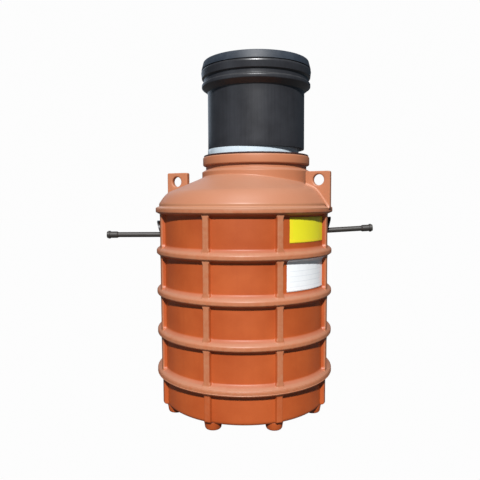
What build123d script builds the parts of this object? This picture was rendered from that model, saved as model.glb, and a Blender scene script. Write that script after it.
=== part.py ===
from build123d import *
import math
import os

# A vertical grease separator: a ribbed plastic tank on eight feet, a domed top with an
# eccentric neck, and a riser with a cover. Millimetres, Z up, the floor is z = 0. The front
# faces -Y, the outlet leaves at -X and the inlet comes in at +X. The origin lies on the floor
# midway between the pipe ends, and reaches and radii are measured from the tank axis.

# Tank shell
tank_radius = 502.0
tank_wall = 10.0
bottom_round = 22.0
foot_height = 50.0
lower_joint_height = 250.0  # where the base and the body meet, in the lowest hoop
hoop_pitch = 242.0
middle_hoops = 3

# Hoops that run round the tank: where root and crest lie above and below a hoop's level
hoop_root_above = 38.0
hoop_crest_above = 9.0
hoop_crest_below = 20.0
hoop_root_below = 40.0
hoop_depth = 35.0
hoop_crest_round = 12.0
hoop_root_round = 9.0

# Flange hoop at the joint of body and dome
flange_root_above = 25.0
flange_crest_above = 10.0
flange_crest_below = 15.0
flange_root_below = 30.0
flange_depth = 34.0
flange_round = 6.0

# Upright ribs
rib_count = 8
rib_width = 40.0
rib_side_angle = 78.0
rib_round = 8.0
body_rib_depth = 23.0
base_rib_depth = 14.0
rib_start_above_bottom = 18.0
rib_turn = -1.2

# Domed top: a knuckle and a flatter crown
knuckle_radius = 150.0
dome_foot_step = 8.0
crown_radius = 1600.0

# Neck on the dome, off centre to the right and to the back
neck_x = 78.0
neck_y = 78.0
neck_ring_radius = 339.0
neck_ring_above_joint = 229.0
neck_shoulder_height = 20.0
neck_spigot_radius = 315.0
neck_spigot_height = 62.0
neck_wall = 10.0
neck_ring_round = 5.0

# Clamping collar round the neck
collar_radius = 333.0
collar_above_shoulder = 13.5
collar_lip = 7.5
collar_round = 7.0
seat_clearance = 0.3

# Neck seal and the sleeve that it grips, which stands off centre in the neck
neck_seal_radius = 325.0
neck_seal_height = 6.0
sleeve_radius = 282.0
sleeve_wall = 8.0
sleeve_offset = -18.0
sleeve_below_seal = 88.0
sleeve_above_seal = 38.5

# Riser pipe with a socket at its top
riser_radius = 300.0
riser_wall = 10.0
riser_foot_width = 48.0
riser_foot_thickness = 10.0
riser_pipe_length = 339.0
socket_flare = 36.0
socket_bead = 36.0
socket_bead_height = 20.0
socket_step = 16.0
socket_groove = 30.0
socket_groove_height = 44.0
socket_top_bead = 40.0
socket_top_bead_height = 18.0
socket_lip_height = 8.0
socket_mouth = 34.0
socket_bore_radius = 318.0
socket_shoulder = 6.0
socket_round = 7.0
seal_chamber_depth = 8.0
seal_chamber_height = 14.0

# Riser cover
cover_height = 41.0
cover_rim_inset = 8.0
cover_rim_width = 14.0
cover_recess = 18.0
cover_deck = 8.0
cover_skirt_wall = 8.0
cover_skirt_depth = 70.0
cover_grip_length = 120.0
cover_grip_width = 30.0
cover_grip_depth = 4.0
cover_grip_spacing = 356.0
cover_clearance = 1.0
cover_rim_round = 4.0

# Lifting lugs, two plates that stand in the planes of two opposite ribs
lug_thickness = 34.0
lug_width = 133.0
lug_height = 222.0
lug_corner = 16.0
lug_edge_round = 5.0
lug_hole_radius = 37.0
lug_hole_from_edge = 61.0
lug_hole_below_top = 53.0

# Feet under the ribs
foot_inset = 59.0
foot_top_radius = 50.0
foot_tip_radius = 34.0
foot_edge_round = 8.0

# Connection spigots through the wall, with a slanted mouth
spigot_radius = 55.0
spigot_wall = 3.5
spigot_beyond_wall = 35.0
spigot_depth_inside = 70.0
spigot_slant = 17.0
inlet_below_joint = 108.0
outlet_below_inlet = 20.0

# Service pipes, each in an eccentric plug at the bottom of its spigot
pipe_radius = 16.0
pipe_wall = 2.0
pipe_drop = 32.0
pipe_reach_inside = 52.0
inlet_pipe_beyond_wall = 294.0
outlet_pipe_beyond_wall = 347.0
inlet_pipe_slope = 3.2
plug_length = 40.0
plug_recess = 6.0
pipe_socket_length = 62.0
pipe_socket_wall = 4.0
pipe_socket_taper = 8.0
pipe_bead = 4.0
pipe_bead_width = 14.0
pipe_bead_from_end = 6.0
pipe_seal_width = 6.0
pipe_seal_thickness = 2.5
pipe_seal_clearance = 0.2
pipe_fit = 0.3
plug_clearance = 0.6

# Places that follow from the sizes above
tank_bottom = foot_height
upper_joint_height = lower_joint_height + (middle_hoops + 1) * hoop_pitch
inlet_height = upper_joint_height - inlet_below_joint
outlet_height = inlet_height - outlet_below_inlet
knuckle_centre = tank_radius + dome_foot_step - knuckle_radius
crown_rise = math.sqrt((crown_radius - knuckle_radius) ** 2 - knuckle_centre**2)
knuckle_end = math.degrees(math.atan2(crown_rise, knuckle_centre))
neck_bore_radius = neck_spigot_radius - neck_wall
neck_ring_top = upper_joint_height + neck_ring_above_joint
neck_shoulder_top = neck_ring_top + neck_shoulder_height
neck_top = neck_shoulder_top + neck_spigot_height
collar_bottom = neck_shoulder_top + collar_above_shoulder
collar_top = neck_top + collar_lip
neck_seal_top = collar_top + neck_seal_height
riser_bottom = neck_seal_top + sleeve_above_seal
flare_bottom = riser_bottom + riser_pipe_length
socket_bottom = flare_bottom + socket_flare
socket_steps = 2 * socket_step + socket_groove_height + socket_lip_height
socket_top = socket_bottom + socket_bead_height + socket_top_bead_height + socket_steps
cover_top = socket_top + cover_height
first_rib_angle = 180.0 / rib_count + rib_turn
lug_angle = first_rib_angle - 360.0 / rib_count
flange_radius = tank_radius + flange_depth
lug_outer_radius = flange_radius
lug_inner_radius = lug_outer_radius - lug_width
lug_top = upper_joint_height + lug_height
spigot_reach = tank_radius + spigot_beyond_wall
plug_face_at = tank_radius - plug_recess
pipe_inside = tank_radius - pipe_reach_inside
inlet_pipe_end = tank_radius + inlet_pipe_beyond_wall
outlet_pipe_end = tank_radius + outlet_pipe_beyond_wall

tank_x = (outlet_pipe_end - inlet_pipe_end) / 2
tank_plane = Plane(origin=(tank_x, 0, 0), x_dir=(1, 0, 0), z_dir=(0, -1, 0))
tank_axis = Axis((tank_x, 0, 0), (0, 0, 1))
neck_centre = Vector(tank_x + neck_x, neck_y, 0)
neck_plane = Plane(origin=neck_centre, x_dir=(1, 0, 0), z_dir=(0, -1, 0))
neck_axis = Axis(neck_centre, (0, 0, 1))


def hoop_corners(level, root_below, crest_below, crest_above, root_above, depth, inset):
    """Corners of a hoop's section, lowest first, or of the hollow inset behind it."""
    low_step = inset * math.tan(math.atan2(depth, root_below - crest_below) / 2)
    high_step = inset * math.tan(math.atan2(depth, root_above - crest_above) / 2)
    inner = tank_radius - inset
    outer = inner + depth
    return [
        (inner, level - root_below + low_step),
        (outer, level - crest_below + low_step),
        (outer, level + crest_above - high_step),
        (inner, level + root_above - high_step),
    ]


def tank_hoop(level, inset=0.0):
    reach = (hoop_root_below, hoop_crest_below, hoop_crest_above, hoop_root_above)
    return hoop_corners(level, *reach, hoop_depth, inset)


def flange_hoop(inset=0.0):
    reach = (flange_root_below, flange_crest_below, flange_crest_above, flange_root_above)
    return hoop_corners(upper_joint_height, *reach, flange_depth, inset)


def base_outline(inset=0.0):
    """Half section of the base moulding, from the bottom to the middle of the lowest hoop."""
    corners = tank_hoop(lower_joint_height, inset)[:2]
    bottom = tank_bottom + inset
    radius = tank_radius - inset
    outer = corners[1][0]
    return [(0, bottom), (radius, bottom)] + corners + [(outer, lower_joint_height), (0, lower_joint_height)]


def body_outline(inset=0.0):
    """Half section of the body, from the lowest hoop's middle to the flange's middle."""
    points = [(0, lower_joint_height), (tank_radius + hoop_depth - inset, lower_joint_height)]
    points += tank_hoop(lower_joint_height, inset)[2:]
    for number in range(1, middle_hoops + 1):
        points += tank_hoop(lower_joint_height + number * hoop_pitch, inset)
    points += flange_hoop(inset)[:2]
    points += [(tank_radius + flange_depth - inset, upper_joint_height), (0, upper_joint_height)]
    return points


def dome_line(inset=0.0):
    """Half section of the dome: flange, knuckle arc and crown arc, closed at the axis."""
    crest = flange_hoop(inset)[2]
    foot_level = flange_hoop(inset)[3][1]
    knuckle = knuckle_radius - inset
    start = math.degrees(math.asin((foot_level - upper_joint_height) / knuckle))
    foot_x = knuckle_centre + knuckle * math.cos(math.radians(start))
    crown_centre = upper_joint_height - crown_rise
    apex = crown_centre + crown_radius - inset
    Polyline((0, apex), (0, upper_joint_height), (crest[0], upper_joint_height), crest, (foot_x, foot_level))
    CenterArc((knuckle_centre, upper_joint_height), knuckle, start, knuckle_end - start)
    CenterArc((0, crown_centre), crown_radius - inset, knuckle_end, 90 - knuckle_end)


def hoop_vertices(sketch, low, high, radius):
    """Corners of a section that stand at a radius, between two heights."""
    return [v for v in sketch.vertices() if low < v.Y < high and abs(v.X - radius) < 0.01]


def rib_plan(height, depth):
    """Plan of the ribs at a height: tapered blocks, half sunk in the wall, with rounded edges."""
    with BuildSketch(Plane(origin=(tank_x, 0, height))) as plan:
        with PolarLocations(tank_radius, rib_count, first_rib_angle):
            Trapezoid(rib_width, 2 * depth, rib_side_angle, rotation=-90)
        fillet([v for v in plan.vertices() if math.hypot(v.X, v.Y) > tank_radius], rib_round)
    return plan.sketch


# Base moulding: flat bottom, wall, lower half of the lowest hoop, short ribs
with BuildPart() as tank_base:
    with BuildSketch(tank_plane) as base_section:
        with BuildLine():
            Polyline(*base_outline(), close=True)
        make_face()
        fillet(hoop_vertices(base_section, 0, tank_bottom + 1, tank_radius), bottom_round)
        above_bottom = tank_bottom + bottom_round
        fillet(hoop_vertices(base_section, above_bottom, lower_joint_height, tank_radius), hoop_root_round)
        hoop_radius = tank_radius + hoop_depth
        fillet(hoop_vertices(base_section, above_bottom, lower_joint_height - 1, hoop_radius), hoop_crest_round)
    revolve(axis=tank_axis)
    rib_bottom = tank_bottom + rib_start_above_bottom
    extrude(rib_plan(rib_bottom, base_rib_depth), amount=lower_joint_height - rib_bottom)
    with BuildSketch(tank_plane):
        with BuildLine():
            Polyline(*base_outline(tank_wall), close=True)
        make_face()
    revolve(axis=tank_axis, mode=Mode.SUBTRACT)
tank_base.part.label = "tank_base"

# Body: wall with hoops and ribs, open at both ends, with a hole for each spigot
with BuildPart() as tank_body:
    with BuildSketch(tank_plane) as body_section:
        with BuildLine():
            Polyline(*body_outline(), close=True)
        make_face()
        fillet(hoop_vertices(body_section, lower_joint_height, upper_joint_height, tank_radius), hoop_root_round)
        flange_low = upper_joint_height - flange_root_below
        fillet(hoop_vertices(body_section, lower_joint_height + 1, flange_low, hoop_radius), hoop_crest_round)
        fillet(hoop_vertices(body_section, flange_low, upper_joint_height - 1, flange_radius), flange_round)
    revolve(axis=tank_axis)
    extrude(rib_plan(lower_joint_height, body_rib_depth), amount=upper_joint_height - lower_joint_height)
    with BuildSketch(tank_plane):
        with BuildLine():
            Polyline(*body_outline(tank_wall), close=True)
        make_face()
    revolve(axis=tank_axis, mode=Mode.SUBTRACT)
    for side, height in ((1, inlet_height), (-1, outlet_height)):
        with BuildSketch(Plane.YZ):
            with Locations((0, height)):
                Circle(spigot_radius + seat_clearance)
        extrude(amount=tank_x + side * lug_outer_radius, mode=Mode.SUBTRACT)
tank_body.part.label = "tank_body"

# Dome: flange half, knuckle, crown and the eccentric neck
with BuildPart() as tank_dome:
    with BuildSketch(tank_plane) as dome_section:
        with BuildLine():
            dome_line()
        make_face()
        fillet(
            hoop_vertices(dome_section, upper_joint_height + 1, neck_ring_top, flange_radius),
            flange_round,
        )
    revolve(axis=tank_axis)
    with BuildSketch(neck_plane) as neck_section:
        with BuildLine():
            Polyline(
                (0, upper_joint_height),
                (neck_ring_radius, upper_joint_height),
                (neck_ring_radius, neck_ring_top),
                (neck_spigot_radius, neck_shoulder_top),
                (neck_spigot_radius, neck_top),
                (0, neck_top),
                close=True,
            )
        make_face()
        fillet(hoop_vertices(neck_section, upper_joint_height + 1, neck_top, neck_ring_radius), neck_ring_round)
    revolve(axis=neck_axis)
    with BuildSketch(tank_plane):
        with BuildLine():
            dome_line(tank_wall)
        make_face()
    revolve(axis=tank_axis, mode=Mode.SUBTRACT)
    with BuildSketch(neck_plane):
        with BuildLine():
            Polyline(
                (0, upper_joint_height),
                (neck_ring_radius - neck_wall, upper_joint_height),
                (neck_ring_radius - neck_wall, neck_ring_top - neck_wall),
                (neck_bore_radius, neck_shoulder_top - neck_wall),
                (neck_bore_radius, neck_top),
                (0, neck_top),
                close=True,
            )
        make_face()
    revolve(axis=neck_axis, mode=Mode.SUBTRACT)
tank_dome.part.label = "tank_dome"

# Collar: a ring that sits with its lip on the end of the neck
with BuildPart() as neck_collar:
    collar_bore = neck_spigot_radius + seat_clearance
    with BuildSketch(neck_plane) as collar_section:
        with BuildLine():
            Polyline(
                (collar_bore, collar_bottom),
                (collar_radius, collar_bottom),
                (collar_radius, collar_top),
                (neck_bore_radius, collar_top),
                (neck_bore_radius, neck_top),
                (collar_bore, neck_top),
                close=True,
            )
        make_face()
        fillet(hoop_vertices(collar_section, 0, collar_top + 1, collar_radius), collar_round)
    revolve(axis=neck_axis)
neck_collar.part.label = "neck_collar"

# Rubber seal on the collar, with its hole off centre for the sleeve
with BuildPart() as neck_seal:
    with BuildSketch(Plane(origin=neck_centre).offset(collar_top)):
        Circle(neck_seal_radius)
        with Locations((sleeve_offset, 0)):
            Circle(sleeve_radius + seat_clearance, mode=Mode.SUBTRACT)
    extrude(amount=neck_seal_height)
neck_seal.part.label = "neck_seal"

# Sleeve between the neck and the riser
with BuildPart() as riser_sleeve:
    with BuildSketch(Plane(origin=neck_centre).offset(neck_seal_top - sleeve_below_seal)):
        with Locations((sleeve_offset, 0)):
            Circle(sleeve_radius)
            Circle(sleeve_radius - sleeve_wall, mode=Mode.SUBTRACT)
    extrude(amount=sleeve_below_seal + sleeve_above_seal)
riser_sleeve.part.label = "riser_sleeve"

# Riser: pipe with a foot ring that stands on the sleeve, and a socket with two beads
with BuildPart() as riser_pipe:
    bead_top = socket_bottom + socket_bead_height
    groove_bottom = bead_top + socket_step
    groove_top = groove_bottom + socket_groove_height
    top_bead_bottom = groove_top + socket_step
    top_bead_top = top_bead_bottom + socket_top_bead_height
    bore_bottom = socket_bottom + socket_shoulder
    chamber_middle = (top_bead_bottom + top_bead_top) / 2
    chamber_radius = socket_bore_radius + seal_chamber_depth
    with BuildSketch(neck_plane) as riser_section:
        with BuildLine():
            Polyline(
                (riser_radius - riser_foot_width, riser_bottom),
                (riser_radius, riser_bottom),
                (riser_radius, flare_bottom),
                (riser_radius + socket_bead, socket_bottom),
                (riser_radius + socket_bead, bead_top),
                (riser_radius + socket_groove, groove_bottom),
                (riser_radius + socket_groove, groove_top),
                (riser_radius + socket_top_bead, top_bead_bottom),
                (riser_radius + socket_top_bead, top_bead_top),
                (riser_radius + socket_mouth, socket_top),
                (socket_bore_radius, socket_top),
                (socket_bore_radius, chamber_middle + seal_chamber_height / 2),
                (chamber_radius, chamber_middle + seal_chamber_height / 2),
                (chamber_radius, chamber_middle - seal_chamber_height / 2),
                (socket_bore_radius, chamber_middle - seal_chamber_height / 2),
                (socket_bore_radius, bore_bottom),
                (riser_radius - riser_wall, flare_bottom + socket_shoulder),
                (riser_radius - riser_wall, riser_bottom + riser_foot_thickness),
                (riser_radius - riser_foot_width, riser_bottom + riser_foot_thickness),
                close=True,
            )
        make_face()
        for bead in (socket_bead, socket_groove, socket_top_bead):
            fillet(hoop_vertices(riser_section, flare_bottom, socket_top, riser_radius + bead), socket_round)
    revolve(axis=neck_axis)
riser_pipe.part.label = "riser_pipe"

# Cover: a skirt in the socket, a tapered band on its mouth and a deck below the rim
with BuildPart() as riser_cover:
    band_radius = riser_radius + socket_mouth
    rim_radius = band_radius - cover_rim_inset
    skirt_radius = socket_bore_radius - cover_clearance
    deck_top = cover_top - cover_recess
    deck_bottom = deck_top - cover_deck
    with BuildSketch(neck_plane) as cover_section:
        with BuildLine():
            Polyline(
                (0, deck_top),
                (rim_radius - cover_rim_width, deck_top),
                (rim_radius - cover_rim_width, cover_top),
                (rim_radius, cover_top),
                (band_radius, socket_top),
                (skirt_radius, socket_top),
                (skirt_radius, socket_top - cover_skirt_depth),
                (skirt_radius - cover_skirt_wall, socket_top - cover_skirt_depth),
                (skirt_radius - cover_skirt_wall, deck_bottom),
                (0, deck_bottom),
                close=True,
            )
        make_face()
        fillet(hoop_vertices(cover_section, socket_top, cover_top + 1, rim_radius), cover_rim_round)
    revolve(axis=neck_axis)
    with BuildSketch(Plane(origin=neck_centre).offset(deck_top)):
        with Locations((0, cover_grip_spacing / 2), (0, -cover_grip_spacing / 2)):
            SlotOverall(cover_grip_length, cover_grip_width)
    extrude(amount=-cover_grip_depth, mode=Mode.SUBTRACT)
riser_cover.part.label = "riser_cover"

# Sealing ring of the cover, in the chamber of the upper bead
with BuildPart() as cover_seal:
    with BuildSketch(Plane(origin=neck_centre).offset(chamber_middle)):
        Circle(chamber_radius - seat_clearance)
        Circle(skirt_radius + seat_clearance, mode=Mode.SUBTRACT)
    extrude(amount=seal_chamber_height / 2 - seat_clearance, both=True)
cover_seal.part.label = "cover_seal"


def lifting_lug(name, angle):
    """An upright plate with an eye, cut to the dome and the flange that it stands on."""
    turn = math.radians(angle)
    lug_plane = Plane(
        origin=(tank_x, 0, 0),
        x_dir=(math.cos(turn), math.sin(turn), 0),
        z_dir=(math.sin(turn), -math.cos(turn), 0),
    )
    with BuildPart() as lug:
        with BuildSketch(lug_plane) as lug_face:
            with BuildLine():
                Polyline(
                    (lug_inner_radius, upper_joint_height),
                    (lug_outer_radius, upper_joint_height),
                    (lug_outer_radius, lug_top),
                    (lug_inner_radius, lug_top),
                    close=True,
                )
            make_face()
            fillet(lug_face.vertices().group_by(Axis.Y)[-1], lug_corner)
        extrude(amount=lug_thickness / 2, both=True)
        fillet(lug.faces().sort_by(Axis(lug_plane.origin, lug_plane.z_dir))[0].edges(), lug_edge_round)
        fillet(lug.faces().sort_by(Axis(lug_plane.origin, lug_plane.z_dir))[-1].edges(), lug_edge_round)
        with BuildSketch(tank_plane):
            with BuildLine():
                dome_line(-seat_clearance)
            make_face()
        revolve(axis=tank_axis, mode=Mode.SUBTRACT)
        with BuildSketch(lug_plane):
            with Locations((lug_outer_radius - lug_hole_from_edge, lug_top - lug_hole_below_top)):
                Circle(lug_hole_radius)
        extrude(amount=lug_thickness, both=True, mode=Mode.SUBTRACT)
    lug.part.label = name
    return lug


def foot(name, angle):
    """A tapered foot under the base, below one rib."""
    turn = math.radians(angle)
    radius = tank_radius - foot_inset
    place = (tank_x + radius * math.cos(turn), radius * math.sin(turn), 0)
    with BuildPart() as cup:
        with BuildSketch(Plane(origin=place)):
            Circle(foot_tip_radius)
        with BuildSketch(Plane(origin=place).offset(foot_height)):
            Circle(foot_top_radius)
        loft()
        fillet(cup.edges().group_by(Axis.Z)[0], foot_edge_round)
    cup.part.label = name
    return cup


def spigot(name, side, height):
    """A short pipe through the tank wall, its mouth slanted so that the top reaches furthest."""
    start = tank_radius - spigot_depth_inside
    slant = math.radians(spigot_slant)
    with BuildPart() as tube:
        with BuildSketch(Plane(origin=(tank_x + side * start, 0, height), z_dir=(side, 0, 0))):
            Circle(spigot_radius)
            Circle(spigot_radius - spigot_wall, mode=Mode.SUBTRACT)
        extrude(amount=spigot_reach - start)
        lip = (tank_x + side * spigot_reach, 0, height + spigot_radius)
        split(
            bisect_by=Plane(origin=lip, z_dir=(side * math.cos(slant), 0, -math.sin(slant))),
            keep=Keep.BOTTOM,
        )
    tube.part.label = name
    return tube


def pipe_plane(side, height, slope):
    """The upright plane of a service pipe: x runs out along the pipe, from inside the plug."""
    rise = math.radians(slope)
    middle = plug_face_at - plug_length / 2
    back = (middle - pipe_inside) / math.cos(rise)
    along = Vector(side * math.cos(rise), 0, math.sin(rise))
    start = Vector(tank_x + side * middle, 0, height - pipe_drop) - along * back
    return Plane(origin=start, x_dir=along, z_dir=(0, -1, 0))


def plug(name, side, height, slope):
    """The eccentric plug that closes a spigot round its service pipe."""
    pipe_frame = pipe_plane(side, height, slope)
    back_face = (tank_x + side * (plug_face_at - plug_length), 0, height)
    with BuildPart() as disc:
        with BuildSketch(Plane(origin=back_face, z_dir=(side, 0, 0))):
            Circle(spigot_radius - spigot_wall - seat_clearance)
        extrude(amount=plug_length)
        with BuildSketch(Plane(origin=pipe_frame.origin, z_dir=pipe_frame.x_dir)):
            Circle(pipe_radius + plug_clearance)
        extrude(amount=2 * plug_length, both=True, mode=Mode.SUBTRACT)
    disc.part.label = name
    return disc


def service_pipe(name, side, height, slope, end):
    """A straight pipe with a socket at its free end and a bead that holds the sealing ring."""
    frame = pipe_plane(side, height, slope)
    length = (end - pipe_inside) / math.cos(math.radians(slope))
    bore = pipe_radius - pipe_wall
    socket_bore = pipe_radius + pipe_fit
    socket_outside = socket_bore + pipe_socket_wall
    socket_start = length - pipe_socket_length
    bead_end = length - pipe_bead_from_end
    bead_start = bead_end - pipe_bead_width
    ring_middle = (bead_start + bead_end) / 2
    ring_radius = socket_bore + pipe_seal_thickness
    half_ring = pipe_seal_width / 2
    with BuildPart() as pipe:
        with BuildSketch(frame) as pipe_section:
            with BuildLine():
                Polyline(
                    (0, bore),
                    (0, pipe_radius),
                    (socket_start - pipe_socket_taper, pipe_radius),
                    (socket_start, socket_outside),
                    (bead_start, socket_outside),
                    (bead_start + pipe_bead / 2, socket_outside + pipe_bead),
                    (bead_end - pipe_bead / 2, socket_outside + pipe_bead),
                    (bead_end, socket_outside),
                    (length, socket_outside),
                    (length, socket_bore),
                    (ring_middle + half_ring, socket_bore),
                    (ring_middle + half_ring, ring_radius),
                    (ring_middle - half_ring, ring_radius),
                    (ring_middle - half_ring, socket_bore),
                    (socket_start + pipe_socket_wall, socket_bore),
                    (socket_start + pipe_socket_wall, bore),
                    close=True,
                )
            make_face()
        revolve(axis=Axis(frame.origin, frame.x_dir))
    pipe.part.label = name
    with BuildPart() as ring:
        with BuildSketch(Plane(origin=frame.origin + frame.x_dir * ring_middle, z_dir=frame.x_dir)):
            Circle(ring_radius - pipe_seal_clearance)
            Circle(socket_bore + pipe_seal_clearance, mode=Mode.SUBTRACT)
        extrude(amount=half_ring - pipe_seal_clearance, both=True)
    ring.part.label = name + "_seal"
    return [pipe, ring]


pieces = [tank_base, tank_body, tank_dome, neck_collar, neck_seal]
pieces += [riser_sleeve, riser_pipe, riser_cover, cover_seal]
pieces += [lifting_lug("lifting_lug_right", lug_angle), lifting_lug("lifting_lug_left", lug_angle + 180)]
for number in range(rib_count):
    pieces.append(foot(f"foot_{number + 1}", first_rib_angle + number * 360 / rib_count))
for name, side, height, slope, end in (
    ("inlet", 1, inlet_height, inlet_pipe_slope, inlet_pipe_end),
    ("outlet", -1, outlet_height, 0.0, outlet_pipe_end),
):
    pieces.append(spigot(name + "_spigot", side, height))
    pieces.append(plug(name + "_plug", side, height, slope))
    pieces += service_pipe(name + "_pipe", side, height, slope, end)

os.makedirs("parts", exist_ok=True)
for piece in pieces:
    export_step(piece.part, f"parts/{piece.part.label}.step")
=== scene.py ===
import math
import bmesh
import bpy
import numpy as np
from mathutils import Matrix, Vector


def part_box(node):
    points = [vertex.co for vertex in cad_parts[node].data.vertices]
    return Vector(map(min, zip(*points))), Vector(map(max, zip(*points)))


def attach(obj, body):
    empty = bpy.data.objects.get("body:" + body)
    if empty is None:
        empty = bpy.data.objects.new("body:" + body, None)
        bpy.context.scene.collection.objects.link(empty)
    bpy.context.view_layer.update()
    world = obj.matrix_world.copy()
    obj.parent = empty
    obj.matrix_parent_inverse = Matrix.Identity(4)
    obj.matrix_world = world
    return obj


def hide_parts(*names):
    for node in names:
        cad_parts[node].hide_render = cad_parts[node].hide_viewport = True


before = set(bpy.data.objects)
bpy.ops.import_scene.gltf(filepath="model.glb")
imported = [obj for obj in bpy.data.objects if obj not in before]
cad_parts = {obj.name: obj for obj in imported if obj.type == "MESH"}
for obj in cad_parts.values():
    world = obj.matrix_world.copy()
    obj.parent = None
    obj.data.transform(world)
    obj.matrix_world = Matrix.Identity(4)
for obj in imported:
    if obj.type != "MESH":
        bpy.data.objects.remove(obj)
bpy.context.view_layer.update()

scene = bpy.context.scene
body = "root"

# places read from the frame, in metres
bodyLow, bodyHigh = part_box("tank_body")
baseLow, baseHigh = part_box("tank_base")
riserLow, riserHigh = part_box("riser_pipe")
tankX = (bodyLow.x + bodyHigh.x) / 2
neckX = (riserLow.x + riserHigh.x) / 2
neckY = (riserLow.y + riserHigh.y) / 2
lowerJoint = baseHigh.z
upperJoint = bodyHigh.z
ribCount = 8


# helpers for surfaces

def softMax(a, b, blend):
    # the larger of two heights, rounded where they meet: max(a, b) + gap^2 / (4 blend)
    gap = np.maximum(blend - np.abs(a - b), 0)
    return np.maximum(a, b) + gap * gap / (4 * blend)


def softMin(a, b, blend):
    return -softMax(-a, -b, blend)


def smooth(low, high, x):
    # 0 below low, 1 above high, with the cubic 3t^2 - 2t^3 between
    t = np.clip((x - low) / (high - low), 0, 1)
    return t * t * (3 - 2 * t)


def ridge(offset, low, high, depth, rounding):
    # height of a ridge at an offset from its level: two flanks from root to crest, cut soft at both;
    # low and high hold how far root and crest lie below and above the level
    below = (low[0] + offset) / (low[0] - low[1]) * depth
    above = (high[0] - offset) / (high[0] - high[1]) * depth
    flank = np.minimum(below, above)
    return softMax(softMin(flank, depth, rounding), 0 * flank, rounding)


def sweepNoise(angle, height, seed, amount):
    # slow waviness of a moulded wall: a sum of a few sine waves round and up the tank
    rng = np.random.default_rng(seed)
    total = np.zeros(np.broadcast(angle, height).shape)
    for order in (2, 3, 5, 8, 11):
        phase, lift = rng.uniform(0, 2 * math.pi, 2)
        total = total + np.sin(order * angle + phase) * np.sin((2 + order) * height + lift) / order
    return total * amount


def spread(stops, counts):
    # rows between stops: each span is divided evenly into its own count
    spans = [np.linspace(a, b, n, endpoint=False) for a, b, n in zip(stops[:-1], stops[1:], counts)]
    return np.concatenate(spans + [np.array(stops[-1:])])


def gridPiece(name, points, material, replaced=(), closeColumns=True, crest=None, uv=None):
    # a mesh from a grid of points (rows, columns, 3): the last row joins the first, and so may the columns
    rows, columns = points.shape[:2]
    below = np.arange(rows * columns).reshape(rows, columns)
    above = np.roll(below, -1, 0)
    if closeColumns:
        faces = np.stack([below, np.roll(below, -1, 1), np.roll(above, -1, 1), above], -1)
    else:
        faces = np.stack([below[:, :-1], below[:, 1:], above[:, 1:], above[:, :-1]], -1)
    mesh = bpy.data.meshes.new(name)
    mesh.from_pydata(points.reshape(-1, 3), [], faces.reshape(-1, 4))
    if crest is not None:
        layer = mesh.attributes.new("crest", "FLOAT", "POINT")
        layer.data.foreach_set("value", crest.astype(np.float32).ravel())
    if uv is not None:
        layer = mesh.uv_layers.new(name="sheet")
        corner = np.zeros(len(mesh.loops), np.int32)
        mesh.loops.foreach_get("vertex_index", corner)
        layer.data.foreach_set("uv", uv.reshape(-1, 2)[corner].astype(np.float32).ravel())
    finishPiece(name, mesh, material, replaced)


def finishPiece(name, mesh, material, replaced):
    # joins poles and seams, turns the faces outwards, shades smooth and rides the piece on the tank
    work = bmesh.new()
    work.from_mesh(mesh)
    bmesh.ops.remove_doubles(work, verts=work.verts, dist=2e-6)
    bmesh.ops.recalc_face_normals(work, faces=work.faces)
    work.to_mesh(mesh)
    work.free()
    mesh.validate()
    mesh.shade_smooth()
    mesh.materials.append(material)
    piece = bpy.data.objects.new(name, mesh)
    scene.collection.objects.link(piece)
    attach(piece, body)
    if replaced:
        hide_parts(*replaced)


def rounded(corners, steps=6):
    # a profile from corners (radius, height, rounding): each corner becomes a circular arc
    corners = np.array(corners, float)
    line = []
    for number, (r, z, rounding) in enumerate(corners):
        here = np.array([r, z])
        if rounding <= 0:
            line.append(here[None])
            continue
        before = corners[number - 1, :2] - here
        after = corners[(number + 1) % len(corners), :2] - here
        before /= np.linalg.norm(before)
        after /= np.linalg.norm(after)
        half = math.acos(np.clip(before @ after, -1, 1)) / 2
        middle = (before + after) / np.linalg.norm(before + after)
        centre = here + middle * rounding / math.sin(half)
        first = here + before * rounding / math.tan(half) - centre
        last = here + after * rounding / math.tan(half) - centre
        t = np.linspace(0, 1, steps)[:, None]
        turn = math.pi - 2 * half
        line.append(centre + (np.sin((1 - t) * turn) * first + np.sin(t * turn) * last) / math.sin(turn))
    return np.concatenate(line)


def refined(profile, longest):
    # adds points on the straight runs of a closed profile, so that no run is longer than longest
    out = []
    for a, b in zip(profile, np.roll(profile, -1, 0)):
        count = max(1, math.ceil(np.linalg.norm(b - a) / longest))
        out.append(a + (b - a) * np.linspace(0, 1, count, endpoint=False)[:, None])
    return np.concatenate(out)


def turned(name, corners, material, replaced, axis, columns=192, longest=0.04):
    # a closed profile of corners (radius, height, rounding), turned round the upright line through axis
    profile = refined(rounded(corners), longest)
    angle = (math.pi / 2 + np.arange(columns) * 2 * math.pi / columns)[None]
    r, z = profile[:, :1], profile[:, 1:]
    points = np.stack(np.broadcast_arrays(axis[0] + r * np.cos(angle), axis[1] + r * np.sin(angle), z), -1)
    gridPiece(name, points, material, replaced)


# helpers for materials

class Value:
    # wraps a shader socket, so that sums on it add Math nodes
    def __init__(self, shader, socket):
        self.shader = shader
        self.socket = socket

    def maths(self, operation, *others):
        sockets = dict(enumerate((self,) + others))
        return self.shader.node("ShaderNodeMath", {"operation": operation}, sockets)

    def __add__(self, other):
        return self.maths("ADD", other)

    def __mul__(self, other):
        return self.maths("MULTIPLY", other)

    def __gt__(self, other):
        return self.maths("GREATER_THAN", other)

    def __lt__(self, other):
        return self.maths("LESS_THAN", other)

    __radd__ = __add__
    __rmul__ = __mul__

    def clip(self, low, high):
        # 0 below low, 1 above high, straight between
        values = {"Value": self, "From Min": low, "From Max": high}
        return self.shader.node("ShaderNodeMapRange", {"clamp": True}, values)


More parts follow.
